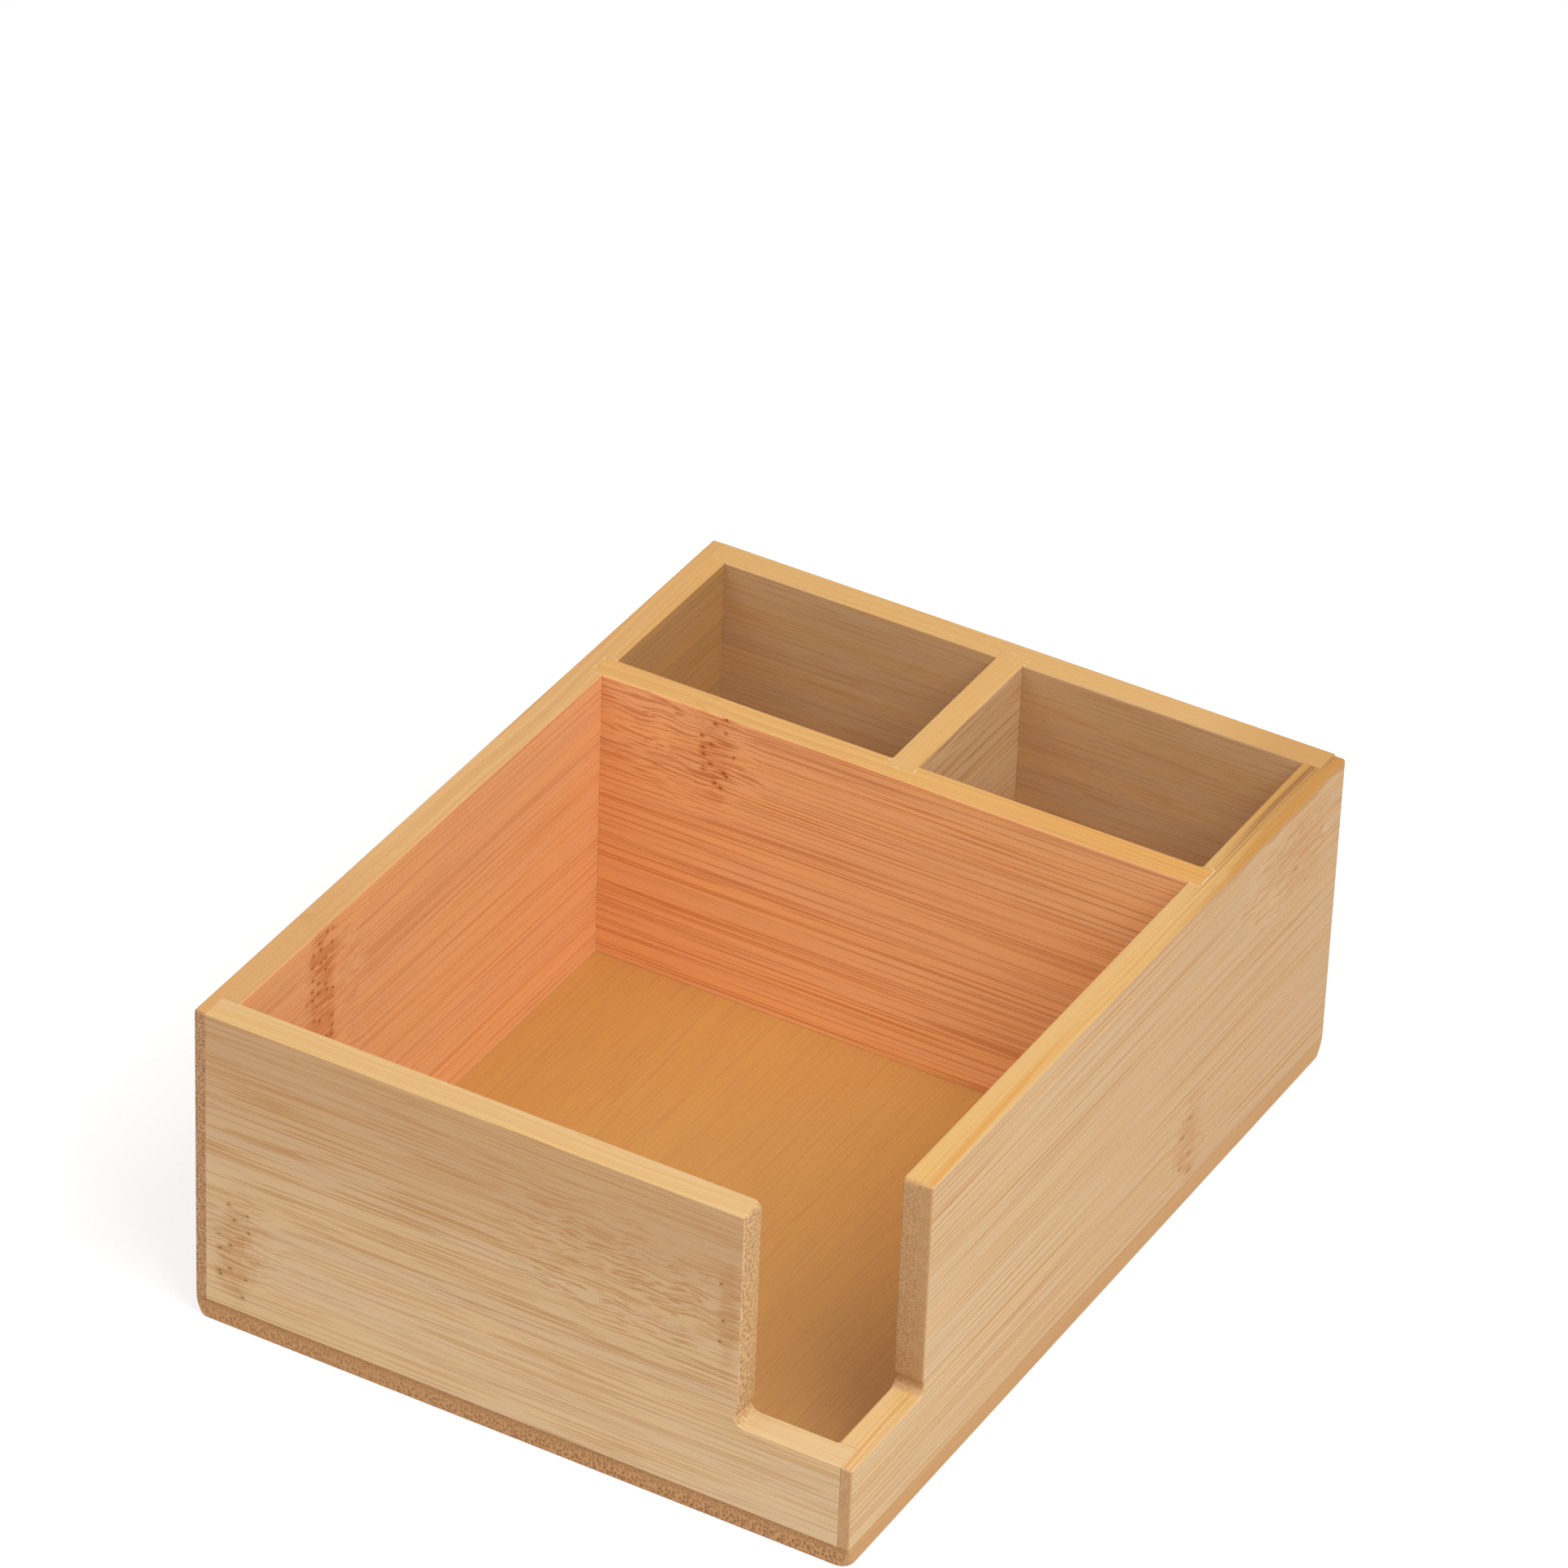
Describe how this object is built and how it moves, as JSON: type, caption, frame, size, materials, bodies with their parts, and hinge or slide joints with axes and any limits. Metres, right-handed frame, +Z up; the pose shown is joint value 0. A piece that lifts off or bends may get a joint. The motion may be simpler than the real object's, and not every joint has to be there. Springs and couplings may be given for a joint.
{
  "type": "cutlery box",
  "caption": "Open bamboo table box with a deep front well for napkins, smaller rear wells for cutlery and sticks behind a housed divider, and a cut-away front corner.",
  "frame": {"origin": "middle of the base board's underside", "axes": "+X to the right along the front wall, +Y from the front to the back, +Z up"},
  "size_m": [0.15, 0.2, 0.075],
  "materials": {
    "base_board": "bare bamboo, end grain at the front and back edges",
    "front_wall": "bare bamboo, long grain from side to side, satin",
    "back_wall": "bare bamboo, long grain from side to side, satin",
    "left_wall": "bare bamboo, long grain from front to back, satin",
    "right_wall": "bare bamboo, long grain from front to back, satin",
    "cross_divider": "bare bamboo, plies showing on the top edge, satin",
    "short_divider": "bare bamboo, plies showing on the top edge, satin"
  },
  "bodies": {
    "root": {"base_board": "base_board", "front_wall": "front_wall", "back_wall": "back_wall", "left_wall": "left_wall", "right_wall": "right_wall", "cross_divider": "cross_divider", "short_divider": "short_divider"}
  },
  "joints": []
}
